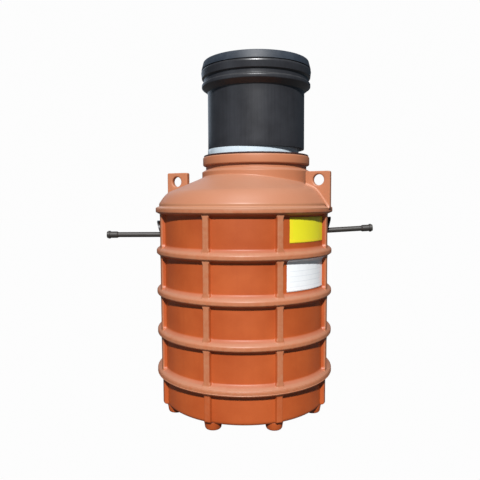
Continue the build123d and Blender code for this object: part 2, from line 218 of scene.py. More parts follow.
class Finish:
    # one material: a Principled surface, and the nodes that feed it
    def __init__(self, name, specular=0.5, coat=0.0, coatRoughness=0.1):
        self.material = bpy.data.materials.new(name)
        self.material.use_nodes = True
        self.tree = self.material.node_tree
        self.surface = self.tree.nodes["Principled BSDF"]
        self.surface.inputs["Specular IOR Level"].default_value = specular
        self.surface.inputs["Coat Weight"].default_value = coat
        self.surface.inputs["Coat Roughness"].default_value = coatRoughness

    def node(self, kind, settings=None, values=None, output=0):
        made = self.tree.nodes.new(kind)
        for key, setting in (settings or {}).items():
            setattr(made, key, setting)
        for key, value in (values or {}).items():
            if isinstance(value, Value):
                self.tree.links.new(value.socket, made.inputs[key])
            else:
                made.inputs[key].default_value = value
        return Value(self, made.outputs[output])

    def place(self, scale=(1, 1, 1)):
        # Object coordinates in metres, stretched by a scale
        coordinates = self.node("ShaderNodeTexCoord", output="Object")
        return self.node("ShaderNodeMapping", {}, {"Vector": coordinates, "Scale": scale})

    def noise(self, scale, detail=3.0, stretch=(1, 1, 1), roughness=0.55):
        values = {"Vector": self.place(stretch), "Scale": scale, "Detail": detail, "Roughness": roughness}
        return self.node("ShaderNodeTexNoise", {}, values)

    def attribute(self, name):
        return self.node("ShaderNodeAttribute", {"attribute_name": name}, output="Fac")

    def part(self, vector, letter):
        return self.node("ShaderNodeSeparateXYZ", {}, {"Vector": vector}, output=letter)

    def facingUp(self):
        # the surface normal's upward part
        return self.part(self.node("ShaderNodeNewGeometry", output="Normal"), "Z")

    def mix(self, factor, first, second):
        def colour(c):
            return c if isinstance(c, Value) else (*c, 1)
        values = {0: factor, 6: colour(first), 7: colour(second)}
        return self.node("ShaderNodeMix", {"data_type": "RGBA"}, values, output=2)

    def bump(self, height, distance, strength=1.0):
        return self.node("ShaderNodeBump", {}, {"Height": height, "Distance": distance, "Strength": strength})

    def feed(self, **sockets):
        names = {"colour": "Base Color", "roughness": "Roughness", "normal": "Normal"}
        for key, value in sockets.items():
            self.tree.links.new(value.socket, self.surface.inputs[names[key]])
        return self.material


def tankPlastic(name, paintedSheen):
    # terracotta moulded plastic: mottled, matt, paler and scuffed on crests; upward faces lighter, partly
    # dust and partly a painted sheen of the sky; a painted sheen added to the scuff mask makes a whole copy
    # paler, for pieces that catch more light; noises are (scale, detail), bands (low, high), and a share says
    # how far one look covers another
    look = {
        "deep": (0.380, 0.067, 0.0120),
        "plain": (0.460, 0.092, 0.0185),
        "pale": (0.462, 0.203, 0.106),
        # the dust colour also stands for a painted sheen of the bluish sky on upward faces
        "dust": (0.405, 0.210, 0.140),
        "mottle": (5.0, 4.0), "mottleBand": (0.3, 0.7),
        "speckle": (420.0, 2.0), "speckleBand": (0.62, 0.75), "speckleShare": 0.18,
        "streak": (3.0, 4.0), "streakStretch": (14, 14, 0.7), "streakBand": (0.5, 0.75), "streakShare": 0.25,
        "scuff": (38.0, 4.0), "scuffLeast": 0.45, "scuffBand": (0.25, 1.05), "scuffShare": 0.75,
        "upBand": (0.15, 0.95), "dustSheenLeast": 0.35, "dustSheenMottle": 0.5,
        "specular": 0.45, "rough": 0.36, "roughMottle": 0.12, "roughSpeckle": 0.10,
        "peel": (170.0, 3.0), "peelShare": 0.7, "grainShare": 0.3, "bump": (0.0006, 0.5),
    }
    finish = Finish(name, specular=look["specular"])
    mottle = finish.noise(*look["mottle"])
    speckle = finish.noise(*look["speckle"])
    streak = finish.noise(*look["streak"], stretch=look["streakStretch"]).clip(*look["streakBand"])
    crest = finish.attribute("crest")
    worn = look["scuffLeast"] + finish.noise(*look["scuff"])
    # the second argument is a painted sheen: it pales the whole copy towards the pale colour, as if lit more
    # brightly
    scuff = (crest * worn).clip(*look["scuffBand"]) + paintedSheen
    up = finish.facingUp().clip(*look["upBand"])
    colour = finish.mix(mottle.clip(*look["mottleBand"]), look["deep"], look["plain"])
    colour = finish.mix(streak * look["streakShare"], colour, look["deep"])
    colour = finish.mix(scuff * look["scuffShare"], colour, look["pale"])
    # upward faces paled: partly settled dust, partly a painted sheen of the sky
    colour = finish.mix(up * (look["dustSheenLeast"] + mottle * look["dustSheenMottle"]), colour, look["dust"])
    grain = speckle.clip(*look["speckleBand"]) * look["speckleShare"]
    colour = finish.mix(grain, colour, look["pale"])
    rough = look["rough"] + mottle * look["roughMottle"] + speckle * look["roughSpeckle"]
    peel = finish.noise(*look["peel"]) * look["peelShare"] + speckle * look["grainShare"]
    return finish.feed(colour=colour, roughness=rough, normal=finish.bump(peel, *look["bump"]))


def plainPlastic(name, dark, light, roughness, scratch=(1, 1, 1), dust=None, coat=0.0):
    # extruded or moulded plastic in one colour: fine drawn lines, cloudy wear and dust on top
    look = {
        "cloud": (9.0, 4.0), "cloudShare": 0.6, "lines": (60.0, 3.0), "linesShare": 0.4, "band": (0.35, 0.65),
        "upBand": (0.1, 0.9), "dust": (22.0, 4.0), "dustBand": (0.3, 0.7), "dustShare": 0.8,
        "roughLess": 0.07, "roughChange": 0.08, "bump": (0.0004, 0.5),
    }
    finish = Finish(name, coat=coat)
    cloud = finish.noise(*look["cloud"])
    lines = finish.noise(*look["lines"], stretch=scratch)
    wear = (cloud * look["cloudShare"] + lines * look["linesShare"]).clip(*look["band"])
    colour = finish.mix(wear, dark, light)
    if dust:
        up = finish.facingUp().clip(*look["upBand"])
        settled = up * finish.noise(*look["dust"]).clip(*look["dustBand"]) * look["dustShare"]
        colour = finish.mix(settled, colour, dust)
    rough = roughness - look["roughLess"] + cloud * look["roughChange"] + lines * look["roughChange"]
    return finish.feed(colour=colour, roughness=rough, normal=finish.bump(lines, *look["bump"]))


print("materials")
terracotta = tankPlastic("terracotta moulded plastic", 0.0)
# a paler copy with a painted sheen all over, for the dome, lugs and collar, which catch more light on top
sheenTerracotta = tankPlastic("terracotta plastic with painted sheen", 0.95)
riserBlack = plainPlastic(
    "black riser plastic", (0.021, 0.021, 0.024), (0.032, 0.033, 0.038), 0.34,
    scratch=(3, 3, 0.05), dust=(0.07, 0.07, 0.07)
)
coverBlue = plainPlastic(
    "blue-grey cover plastic", (0.012, 0.017, 0.027), (0.025, 0.034, 0.048), 0.55, dust=(0.075, 0.09, 0.11)
)
sleevePale = plainPlastic(
    "pale glossy sleeve", (0.52, 0.61, 0.67), (0.62, 0.69, 0.74), 0.25, scratch=(2, 2, 0.1), coat=0.4
)
spigotBlack = plainPlastic("black spigot plastic", (0.010, 0.010, 0.011), (0.020, 0.019, 0.019), 0.40)
pipeGrey = plainPlastic(
    "grey pipe plastic", (0.027, 0.023, 0.020), (0.044, 0.039, 0.034), 0.5, scratch=(0.05, 4, 4)
)
sealRubber = plainPlastic("dark seal rubber", (0.012, 0.008, 0.007), (0.030, 0.016, 0.014), 0.62)
neckRubber = plainPlastic("brown neck seal rubber", (0.030, 0.008, 0.006), (0.055, 0.016, 0.012), 0.62)


print("tank shell")
shell = {
    "radius": 0.502, "wall": 0.010, "bottomRound": 0.022, "bottomDrop": 0.005, "baseInset": 0.005,
    "hoopLow": (0.041, 0.0255), "hoopHigh": (0.025, 0.002), "hoopDepth": 0.035, "hoopRound": 0.012,
    "lowestHoopLow": (0.046, 0.026), "lowestHoopDepth": 0.038, "hoopPitch": 0.242, "hoopCount": 4,
    "flangeLow": (0.037, 0.020), "flangeHigh": (0.022, 0.007), "flangeDepth": 0.038, "flangeRound": 0.009,
    "rib": (0.021, 0.0155), "ribRound": 0.008, "ribDepth": 0.023, "ribTurn": -0.0209,
    "baseRibDepth": 0.022, "baseRibEnd": (0.003, 0.016),
    "cornerBlend": 0.009, "cornerStart": 0.006, "ribFlare": 0.005, "flareReach": 0.016,
    "wave": 0.0007, "waveSeed": 4, "waveEnd": (0.01, 0.02), "baseWaveSeed": 7, "baseWaveEnd": 0.05,
    "scuff": (0.006, 0.024), "baseScuff": (0.005, 0.022), "baseRibScuff": 0.4,
    "seamBelow": 0.018, "seamDip": 0.0016, "seamWidth": 0.003, "seamReach": 0.005,
    "ledge": 0.0008, "ledgeEdge": (-0.002, 0.001), "ledgeStart": 0.01, "insetEnd": 0.03,
    "rowMargin": 0.006, "baseRows": (8, 14, 16, 14), "cornerRows": 8,
    "bottomRows": 6, "floorRows": (0, 0.2, 0.4),
}
hoopMiddles = lowerJoint + shell["hoopPitch"] * np.arange(shell["hoopCount"])


def hoopHeightAt(z):
    # how far the hoops stand out at a height: the largest of one ridge for each hoop
    s = shell
    out = ridge(z - lowerJoint, s["lowestHoopLow"], s["hoopHigh"], s["lowestHoopDepth"], s["hoopRound"])
    for middle in hoopMiddles[1:]:
        out = np.maximum(out, ridge(z - middle, s["hoopLow"], s["hoopHigh"], s["hoopDepth"], s["hoopRound"]))
    flange = ridge(z - upperJoint, s["flangeLow"], s["flangeHigh"], s["flangeDepth"], s["flangeRound"])
    return np.maximum(out, flange)


def ribHeightAt(angle, depth, widening=0.0):
    # how far the ribs stand out at an angle: a ridge across each rib, by the distance round the wall
    pitch = 2 * math.pi / ribCount
    off = (angle - shell["ribTurn"]) % pitch - pitch / 2
    off = np.maximum(np.abs(off * shell["radius"]) - widening, 0)
    return ridge(off, shell["rib"], shell["rib"], depth, shell["ribRound"])


def reliefAt(angle, z, depth, fade=1.0):
    # hoops and ribs together: ribs flare where they reach a hoop, and the corner between them is filled
    s = shell
    hoop = hoopHeightAt(z)
    gap = np.maximum(z - upperJoint - s["flangeHigh"][0], upperJoint - s["flangeLow"][0] - z)
    for middle in hoopMiddles:
        gap = np.minimum(gap, np.maximum(z - middle - s["hoopHigh"][0], middle - s["hoopLow"][0] - z))
    widening = s["ribFlare"] * np.clip(1 - gap / s["flareReach"], 0, 1) ** 2
    rib = ribHeightAt(angle, depth, widening) * fade
    fill = softMax(hoop, rib, s["cornerBlend"]) - np.maximum(hoop, rib)
    return np.maximum(hoop, rib) + fill * smooth(0, s["cornerStart"], np.minimum(hoop, rib))


def ribAngles(panelSteps=6, ribSteps=30, margin=0.010):
    # angles round the tank, closely spaced over each rib and wider over each panel
    pitch = 2 * math.pi / ribCount
    half = (shell["rib"][0] + margin) / shell["radius"]
    stops = [0, pitch / 2 - half, pitch / 2 + half, pitch]
    one = spread(stops, [panelSteps, ribSteps, panelSteps])[:-1]
    return (one[None] + pitch * np.arange(ribCount)[:, None]).ravel() + shell["ribTurn"]


def wallPoints(angle, z, r):
    shape = np.broadcast(angle, z, r).shape
    points = np.empty(shape + (3,))
    points[..., 0] = tankX + r * np.cos(angle)
    points[..., 1] = r * np.sin(angle)
    points[..., 2] = z
    return points


def hoopRows(low, high, panelSteps=9, hoopSteps=30):
    # heights between low and high, closely spaced over each hoop
    reach = shell["hoopLow"][0] + shell["rowMargin"]
    stops, counts = [low], []
    for middle in list(hoopMiddles) + [upperJoint]:
        for edge, count in ((middle - reach, panelSteps), (middle + reach, hoopSteps)):
            if edge > stops[-1] and stops[-1] < high:
                stops.append(min(edge, high))
                counts.append(count if edge < high or count == panelSteps else hoopSteps // 2)
    return spread(stops, counts)


def makeBody():
    # outside: radius + hoops and ribs with soft corners; inside: the hoops alone, one wall further in
    s = shell
    angle = ribAngles()[None]
    z = hoopRows(lowerJoint, upperJoint)[:, None]
    hoop = hoopHeightAt(z)
    relief = reliefAt(angle, z, s["ribDepth"])
    wave = sweepNoise(angle, z, s["waveSeed"], s["wave"]) * (1 - smooth(*s["waveEnd"], hoop))
    outside = s["radius"] + relief + wave
    inside = s["radius"] - s["wall"] + hoopHeightAt(z[::-2])
    points = np.concatenate([wallPoints(angle, z, outside), wallPoints(angle, z[::-2], inside)])
    crest = np.concatenate([smooth(*s["scuff"], relief), np.zeros_like(inside + 0 * angle)])
    gridPiece("bodyShell", points, terracotta, ["tank_body"], crest=crest)


def makeBase():
    # the wall a little further in, with a parting line under the joint, then a round corner and the flat
    # bottom, closed at the axis, and the same way back inside
    s = shell
    angle = ribAngles()[None]
    bottom, corner = baseLow.z - s["bottomDrop"], s["bottomRound"]
    radius, innerRadius = s["radius"] - s["baseInset"], s["radius"] - s["wall"]
    ribEnd = [bottom + end for end in s["baseRibEnd"]]
    seam = lowerJoint - s["seamBelow"]
    hoopEnd = lowerJoint - s["lowestHoopLow"][0] - s["rowMargin"]
    stops = [lowerJoint, seam + s["seamReach"], seam - s["seamReach"], hoopEnd, bottom + corner]
    z = spread(stops, s["baseRows"])[:, None]
    hoop = hoopHeightAt(z)
    relief = reliefAt(angle, z, s["baseRibDepth"], smooth(*ribEnd, z))
    dip = s["seamDip"] * (1 - smooth(0, s["seamWidth"], np.abs(z - seam)))
    ledge = s["ledge"] * smooth(*s["ledgeEdge"], seam - z) * smooth(0, s["ledgeStart"], hoop)
    wave = sweepNoise(angle, z, s["baseWaveSeed"], s["wave"]) * (1 - smooth(*s["waveEnd"], hoop))
    wave = wave * smooth(bottom, bottom + s["baseWaveEnd"], z)
    inset = s["baseInset"] * (1 - smooth(0, s["insetEnd"], hoop))
    wall = wallPoints(angle, z, s["radius"] + relief + wave - dip + ledge - inset)
    turn = np.linspace(0, math.pi / 2, s["cornerRows"])[1:, None]
    turnZ = bottom + corner * (1 - np.sin(turn))
    turnRib = ribHeightAt(angle, s["baseRibDepth"]) * smooth(*ribEnd, turnZ)
    bend = wallPoints(angle, turnZ, radius - corner * (1 - np.cos(turn)) + turnRib)
    flat = wallPoints(angle, bottom, np.linspace(radius - corner, 0, s["bottomRows"])[1:, None])
    innerR = np.array([*s["floorRows"], innerRadius - corner, innerRadius])[:, None]
    innerZ = bottom + s["wall"] + corner * (innerR == innerRadius)
    inner = wallPoints(angle, innerZ, innerR)
    up = z[::-2][1:]
    rise = wallPoints(angle, up, innerRadius + hoopHeightAt(up))
    points = np.concatenate([wall, bend, flat, inner, rise])
    crest = np.zeros(points.shape[:2])
    ribCrest = s["baseRibScuff"] * smooth(*s["baseScuff"], relief)
    crest[:len(z)] = np.maximum(smooth(*s["baseScuff"], hoop), ribCrest)
    gridPiece("baseShell", points, terracotta, ["tank_base"], crest=crest)


domeShape = {
    "crownLine": (0.3013, 0.42), "sideLine": (0.8093, 1.50), "bend": 0.030, "crownShift": 0.018,
    "footHeight": 0.030, "groove": 0.5190, "fillet": 0.006,
    "ringRadius": 0.339, "ringTop": 1.443, "shoulderTop": 1.457, "tubeRadius": 0.315, "tubeTop": 1.529,
    "wall": 0.010, "soft": 0.005, "edge": 0.001, "ringStart": 0.009,
    "grooveBlend": 0.006, "grooveEdge": 0.002, "innerFoot": 0.7, "flangeScuff": 0.8,
    "columns": 288, "flangeRows": 25, "rowStops": (0, 0.35, 1), "rows": (22, 22),
    "filletRows": 7, "ringRows": 8,
}


def domeLine(line, r, inset):
    # height over the upper joint of a sloping line (height at the axis, fall per metre), set back by inset
    return line[0] - line[1] * r - inset * math.hypot(1, line[1])


def domeHeight(x, y, inset=0.0):
    # a shallow cone, its axis a little towards the neck, and a steep side, rounded where they meet
    d = domeShape
    crown = domeLine(d["crownLine"], np.hypot(x - d["crownShift"], y), inset)
    return upperJoint + softMin(crown, domeLine(d["sideLine"], np.hypot(x, y), inset), d["bend"])


def makeDome():
    # rows run up the flange, over the dome along straight plan lines to the neck ring, up the neck,
    # and back inside
    s, d = shell, domeShape
    angle = (np.arange(d["columns"]) * 2 * math.pi / d["columns"])[None]
    outX, outY = np.cos(angle), np.sin(angle)
    offX, offY = neckX - tankX, neckY
    lean = offX * outX + offY * outY

    def planRow(reach, inset):
        # points from the neck ring (reach 0) to the dome's foot (reach 1)
        foot = d["footHeight"] - inset * d["innerFoot"]
        footR = (domeLine(d["sideLine"], 0, inset) - foot) / d["sideLine"][1]
        edge = -lean + np.sqrt(lean ** 2 + footR ** 2 - offX ** 2 - offY ** 2)
        start = d["ringRadius"] - inset + (d["fillet"] if inset == 0 else 0.0)
        away = start + (edge - start) * reach
        x, y = offX + outX * away, offY + outY * away
        return x, y, np.hypot(x, y)

    def stacked(x, y, z):
        x, y, z = np.broadcast_arrays(x, y, z)
        return np.stack([tankX + x, y, z], -1)

    def flangeRows(inset, backwards=False):
        x, y, r = planRow(np.ones((1, 1)), inset)
        if inset == 0:
            # up the flange, into the groove over it and out to the dome's foot
            z = np.linspace(0, d["footHeight"], d["flangeRows"], endpoint=False)[:, None]
            relief = ridge(z, s["flangeLow"], s["flangeHigh"], s["flangeDepth"], s["flangeRound"])
            outward = smooth(s["flangeHigh"][0] - d["grooveEdge"], d["footHeight"] + d["grooveEdge"], z)
            above = d["groove"] + (r - d["groove"]) * outward
            radius = softMax(s["radius"] + relief, above, d["grooveBlend"])
        else:
            lowR = s["radius"] + s["flangeDepth"] - inset
            foot = d["footHeight"] - inset * d["innerFoot"]
            z = np.array([0, s["flangeHigh"][1] - inset / 2, foot])[:, None]
            radius = np.array([lowR, lowR, 0])[:, None] + np.array([0, 0, 1])[:, None] * r
        rows = stacked(x / r * radius, y / r * radius, upperJoint + z)
        return rows[::-1] if backwards else rows

    reach = (1 - spread(d["rowStops"], d["rows"])[1:])[:, None]
    x, y, r = planRow(reach, 0.0)
    dome = stacked(x, y, domeHeight(x, y))
    ring, last = d["ringRadius"], d["ringRadius"] + d["fillet"]
    startZ = domeHeight(offX + outX * ring, offY + outY * ring) + d["fillet"]
    lastZ = domeHeight(offX + outX * last, offY + outY * last)
    turn = np.linspace(0, math.pi / 2, d["filletRows"])[1:, None]
    away = ring + d["fillet"] * (1 - np.sin(turn))
    fillet = stacked(offX + outX * away, offY + outY * away, lastZ + (startZ - lastZ) * (1 - np.cos(turn)))
    tube, bore = d["tubeRadius"], d["tubeRadius"] - d["wall"]
    profile = rounded([
        (ring, d["ringTop"] - d["ringStart"], 0), (ring, d["ringTop"], d["soft"]),
        (tube, d["shoulderTop"], d["soft"]), (tube, d["tubeTop"], d["edge"]),
        (bore, d["tubeTop"], d["edge"]), (bore, d["shoulderTop"] - d["wall"], 0),
        (ring - d["wall"], d["ringTop"] - d["wall"], 0),
    ])
    rise = np.linspace(0, 1, d["ringRows"])[1:-1, None]
    wall = stacked(offX + outX * ring, offY + outY * ring, startZ + (profile[0, 1] - startZ) * rise)
    neck = stacked(offX + outX * profile[:, :1], offY + outY * profile[:, :1], profile[:, 1:])
    back = reach[::-2]
    x, y, r = planRow(np.concatenate([np.zeros((1, 1)), back]), d["wall"])
    inner = stacked(x, y, domeHeight(x, y, d["wall"]))
    points = np.concatenate([flangeRows(0.0), dome, fillet, wall, neck, inner, flangeRows(d["wall"], True)])
    crest = np.zeros(points.shape[:2])
    crest[:d["flangeRows"]] = d["flangeScuff"]
    gridPiece("domeShell", points, sheenTerracotta, ["tank_dome"], crest=crest)


lugShape = {
    "width": 0.146, "corner": 0.009, "half": 0.0175, "soft": 0.004, "flare": 0.010, "bury": 0.006,
    "holeFromEdge": 0.0685, "holeRadius": 0.032, "rimSoft": 0.007, "flareEnd": (-0.004, 0.016),
    "flangeCover": 0.004, "columns": 200, "probe": (0.044, 0.30, 900),
    "faceShares": (0.3, 0.55, 0.72, 0.84, 0.93),
}


def makeLug(side, angle, outer, top, holeHeight):
    # rows run from the hole over the front face, the edge and the back face; columns go round the hole;
    # u runs outwards along the plate, w across it
    g = lugShape
    turn = (np.arange(g["columns"]) * 2 * math.pi / g["columns"])[None]
    out, up = np.cos(turn), np.sin(turn)
    along = np.array([math.cos(angle), math.sin(angle)])
    middle, half = outer - g["width"] / 2, g["width"] / 2
    holeU = outer - g["holeFromEdge"]

    def ground(u):
        # height of the dome, or of the flange beyond it, under a place along the plate
        return np.maximum(domeHeight(u * along[0], u * along[1]), upperJoint + g["flangeCover"])

    # distance from the hole's middle to the outline: the last step that lies within it
    step = np.linspace(*g["probe"])[:, None]
    u, z = holeU + step * out, holeHeight + step * up
    c = g["corner"]
    over = np.hypot(np.maximum(np.abs(u - middle) - half + c, 0), np.maximum(z - top + c, 0)) > c
    beyond = over | (z < ground(u) - g["bury"])
    edge = step[np.argmax(beyond, axis=0), 0][None]

    arc = np.linspace(0, math.pi / 2, 4)[:, None]
    rim = g["holeRadius"] + g["rimSoft"] * (1 - np.cos(arc))
    rimW = g["half"] - g["rimSoft"] * (1 - np.sin(arc))
    share = np.array(g["faceShares"])[:, None]
    start, end = g["holeRadius"] + g["rimSoft"], edge - g["soft"]
    face = start + (end - start) * share
    lip = edge - g["soft"] * (1 - np.sin(arc))
    lipW = g["half"] - g["soft"] * (1 - np.cos(arc))
    reach = np.concatenate([rim + 0 * turn, face, lip])
    w = np.concatenate([rimW, np.full_like(share, g["half"]), lipW]) + 0 * reach
    reach, w = np.concatenate([reach, reach[::-1]]), np.concatenate([w, -w[::-1]])
    u, z = holeU + reach * out, holeHeight + reach * up
    w = w * (1 + g["flare"] / g["half"] * (1 - smooth(*g["flareEnd"], z - ground(u))) ** 2)
    points = np.stack([tankX + u * along[0] - w * along[1], u * along[1] + w * along[0], z], -1)
    gridPiece("lug_" + side, points, sheenTerracotta, ["lifting_lug_" + side])


makeBody()
makeBase()
makeDome()
lugTurn = shell["ribTurn"] - math.pi / ribCount
makeLug("right", lugTurn, outer=0.544, top=1.4350, holeHeight=1.3850)
makeLug("left", lugTurn + math.pi, outer=0.537, top=1.4465, holeHeight=1.3895)


print("neck, riser and cover")
neckAxis = (neckX, neckY)
collar = {
    "radius": 0.333, "bore": 0.3153, "low": 1.4805, "seat": 1.529, "top": 1.535, "lip": 0.305, "round": 0.009,
    "edge": 0.001,
}
turned("collarRing", [
    (collar["bore"], collar["low"], collar["edge"]), (collar["radius"], collar["low"], collar["round"]),
    (collar["radius"], collar["top"], collar["round"]), (collar["lip"], collar["top"], collar["edge"]),
    (collar["lip"], collar["seat"], 0), (collar["bore"], collar["seat"], 0),
], sheenTerracotta, ["neck_collar"], neckAxis)

sleeveLow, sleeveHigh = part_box("riser_sleeve")
sleeve = {"radius": 0.282, "bore": 0.274, "edge": 0.001, "forward": 0.010, "flare": 0.003, "bend": 0.010}
sleeveX = (sleeveLow.x + sleeveHigh.x) / 2
sleeveY = neckY - sleeve["forward"]
turned("sleeveTube", [
    (sleeve["bore"], sleeveLow.z, 0), (sleeve["radius"], sleeveLow.z, 0),
    (sleeve["radius"] + sleeve["flare"], collar["top"], sleeve["bend"]),
    (sleeve["radius"], sleeveHigh.z, sleeve["edge"]), (sleeve["bore"], sleeveHigh.z, sleeve["edge"]),
], sleevePale, ["riser_sleeve"], (sleeveX, sleeveY))


def makeNeckSeal():
    # a flat ring whose hole is off centre: outer and inner circles joined by rows
    ring = {"outer": 0.327, "inner": 0.2855, "soft": 0.0025, "height": 0.010, "columns": 192}
    angle = (np.arange(ring["columns"]) * 2 * math.pi / ring["columns"])[None]
    low, high, soft = collar["top"], collar["top"] + ring["height"], ring["soft"]
    section = np.array([
        (ring["outer"] - soft, low, 0), (ring["outer"], low + soft, 0), (ring["outer"], high - soft, 0),
        (ring["outer"] - soft, high, 0), (ring["inner"], high, 1), (ring["inner"], low, 1),
    ])
    r, z, inner = section[:, :1], section[:, 1:2], section[:, 2:]
    x = neckX + (sleeveX - neckX) * inner + r * np.cos(angle)
    y = neckY + (sleeveY - neckY) * inner + r * np.sin(angle)
    points = np.stack(np.broadcast_arrays(x, y, z), -1)
    gridPiece("neckSealRing", points, neckRubber, ["neck_seal"])


makeNeckSeal()

# riser: heights of the socket's parts are given below the top of the riser
riser = {
    "radius": 0.300, "bore": 0.290, "foot": 0.252, "footWall": 0.010, "footEdge": 0.0015,
    "taperLow": 0.146, "lowBead": 0.337, "lowBeadHeights": (0.119, 0.101),
    "groove": 0.325, "grooveHeights": (0.092, 0.070),
    "highBeadFoot": (0.336, 0.064), "highBead": (0.340, 0.028),
    "shoulder": (0.338, 0.0185), "lip": 0.334, "lipEdge": 0.002, "socketBore": 0.318, "socketEdge": 0.001,
    "socketFloor": 0.110, "boreTop": 0.150,
    "taperRound": 0.010, "lowBeadRound": 0.008, "grooveRound": 0.002, "highBeadRounds": (0.005, 0.006, 0.004),
}
z0, z1 = riserLow.z, riserHigh.z
beadRounds = riser["highBeadRounds"]
turned("riserTube", [
    (riser["foot"], z0, 0), (riser["radius"], z0, riser["footEdge"]),
    (riser["radius"], z1 - riser["taperLow"], riser["taperRound"]),
    *[(riser["lowBead"], z1 - drop, riser["lowBeadRound"]) for drop in riser["lowBeadHeights"]],
    *[(riser["groove"], z1 - drop, riser["grooveRound"]) for drop in riser["grooveHeights"]],
    (riser["highBeadFoot"][0], z1 - riser["highBeadFoot"][1], beadRounds[0]),
    (riser["highBead"][0], z1 - riser["highBead"][1], beadRounds[1]),
    (riser["shoulder"][0], z1 - riser["shoulder"][1], beadRounds[2]),
    (riser["lip"], z1 - riser["shoulder"][1], 0), (riser["lip"], z1, riser["lipEdge"]),
    (riser["socketBore"], z1, riser["socketEdge"]), (riser["socketBore"], z1 - riser["socketFloor"], 0),
    (riser["bore"], z1 - riser["boreTop"], 0), (riser["bore"], z0 + riser["footWall"], 0),
    (riser["foot"], z0 + riser["footWall"], 0),
], riserBlack, ["riser_pipe"], neckAxis)

coverLow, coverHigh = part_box("riser_cover")
cover = {
    "topDrop": 0.006, "rim": 0.326, "rimInner": 0.312, "rimRound": 0.006, "rimInnerRound": 0.003,
    "band": 0.3385, "bandInner": 0.3345, "bandDrop": 0.0135, "bandEdge": 0.0015, "lift": 0.0004,
    "recess": 0.016, "deck": 0.008, "skirt": 0.317, "skirtInner": 0.309, "skirtEdge": 0.001,
}
coverTop = coverHigh.z - cover["topDrop"]
deckTop = coverTop - cover["recess"]
deckLow = deckTop - cover["deck"]
seat, bandLow = z1 + cover["lift"], z1 - cover["bandDrop"]
turned("coverPlate", [
    (0, deckTop, 0), (cover["rimInner"], deckTop, cover["rimInnerRound"]),
    (cover["rimInner"], coverTop, cover["rimInnerRound"]), (cover["rim"], coverTop, cover["rimRound"]),
    (cover["band"], bandLow, cover["bandEdge"]), (cover["bandInner"], bandLow, 0),
    (cover["bandInner"], seat, 0), (cover["skirt"], seat, 0),
    (cover["skirt"], coverLow.z, cover["skirtEdge"]), (cover["skirtInner"], coverLow.z, cover["skirtEdge"]),
    (cover["skirtInner"], deckLow, 0), (0, deckLow, 0),
], coverBlue, ["riser_cover"], neckAxis)


print("feet")
foot = {"tip": 0.044, "top": 0.053, "round": 0.014, "edge": 0.001, "columns": 64, "longest": 0.02}
for number in range(ribCount):
    low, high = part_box(f"foot_{number + 1}")
    turned(f"footCone_{number + 1}", [
        (0, low.z, 0), (foot["tip"], low.z, foot["round"]),
        (foot["top"], high.z, foot["edge"]), (0, high.z, 0),
    ], terracotta, [f"foot_{number + 1}"], (low + high) / 2, foot["columns"], foot["longest"])


print("pipes")
pipeLooks = {"spigot": spigotBlack, "plug": spigotBlack, "pipe": pipeGrey, "pipe_seal": sealRubber}


def repaint(node, material):
    # gives a solid of the frame one of this scene's materials
    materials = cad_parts[node].data.materials
    materials.clear()
    materials.append(material)


for side in ("inlet", "outlet"):
    for kind, material in pipeLooks.items():
        repaint(side + "_" + kind, material)
repaint("cover_seal", sealRubber)


print("stickers")


def stickerPlastic(name, ground, marks):
    # printed film: a ground colour and plain blocks given as (low u, high u, low v, high v, colour, strength)
    look = {"coat": (0.3, 0.2), "worn": (30.0, 4.0), "wornBand": (0.35, 0.75), "wornShare": 0.25, "dim": 0.8}
    finish = Finish(name, coat=look["coat"][0], coatRoughness=look["coat"][1])
    sheet = finish.node("ShaderNodeUVMap", {"uv_map": "sheet"})
    u, v = finish.part(sheet, "X"), finish.part(sheet, "Y")
    worn = finish.noise(*look["worn"])
    dimmed = tuple(look["dim"] * c for c in ground)
    colour = finish.mix(worn.clip(*look["wornBand"]) * look["wornShare"], ground, dimmed)
    for lowU, highU, lowV, highV, paint, strength in marks:
        inside = (u > lowU) * (u < highU) * (v > lowV) * (v < highV)
        colour = finish.mix(inside * strength, colour, paint)
    return finish.feed(colour=colour, roughness=0.28 + worn * 0.14)


def makeSticker(name, middle, width, low, high, material):
    # a thin film on the wall, its middle at an angle in degrees: front and back sheets joined at their edges
    s = shell
    film = {"front": 0.0006, "back": 0.0001, "lift": 0.0004, "ripples": (9, 3), "columns": 60, "rows": 24}
    u = np.linspace(0, 1, film["columns"])[None]
    v = np.linspace(0, 1, film["rows"])[:, None]
    angle = math.radians(middle) + (u - 0.5) * width / s["radius"]
    z = low + (high - low) * v
    base = s["radius"] + sweepNoise(angle, z, s["waveSeed"], s["wave"]) + reliefAt(angle, z, s["ribDepth"])
    base = base + film["lift"] * np.sin(film["ripples"][0] * u + film["ripples"][1] * v) ** 2
    front = wallPoints(angle, z, base + film["front"])
    back = wallPoints(angle, z, base + film["back"])
    points = np.concatenate([front, back[::-1]])
    uv = np.stack(np.broadcast_arrays(u, v), -1)
    uv = np.concatenate([uv, uv[::-1]])
    gridPiece(name, points, material, closeColumns=False, uv=uv)


yellowFilm = stickerPlastic("yellow film", (0.86, 0.72, 0.02), [
    (0.07, 0.97, 0.12, 0.93, (0.78, 0.78, 0.015), 0.55),
])
whiteFilm = stickerPlastic("white film", (0.93, 0.95, 0.96), [
    (0.06, 0.94, line, line + 0.012, (0.55, 0.60, 0.66), 0.5) for line in (0.14, 0.30, 0.46, 0.62)
])
makeSticker("yellowSticker", middle=-43.75, width=0.3054, low=1.034, high=1.175, material=yellowFilm)
makeSticker("whiteSticker", middle=-44.75, width=0.3228, low=0.769, high=0.948, material=whiteFilm)


print("stage, lights and camera")
stageLook = {
    "floor": (0.10, 0.10, 0.10), "roughness": 0.9, "half": 30.0, "floorWhite": 0.978,
    "sky": (0.50, 0.74, 1.0), "skyStrength": 0.10, "skyWhite": 0.98,
}


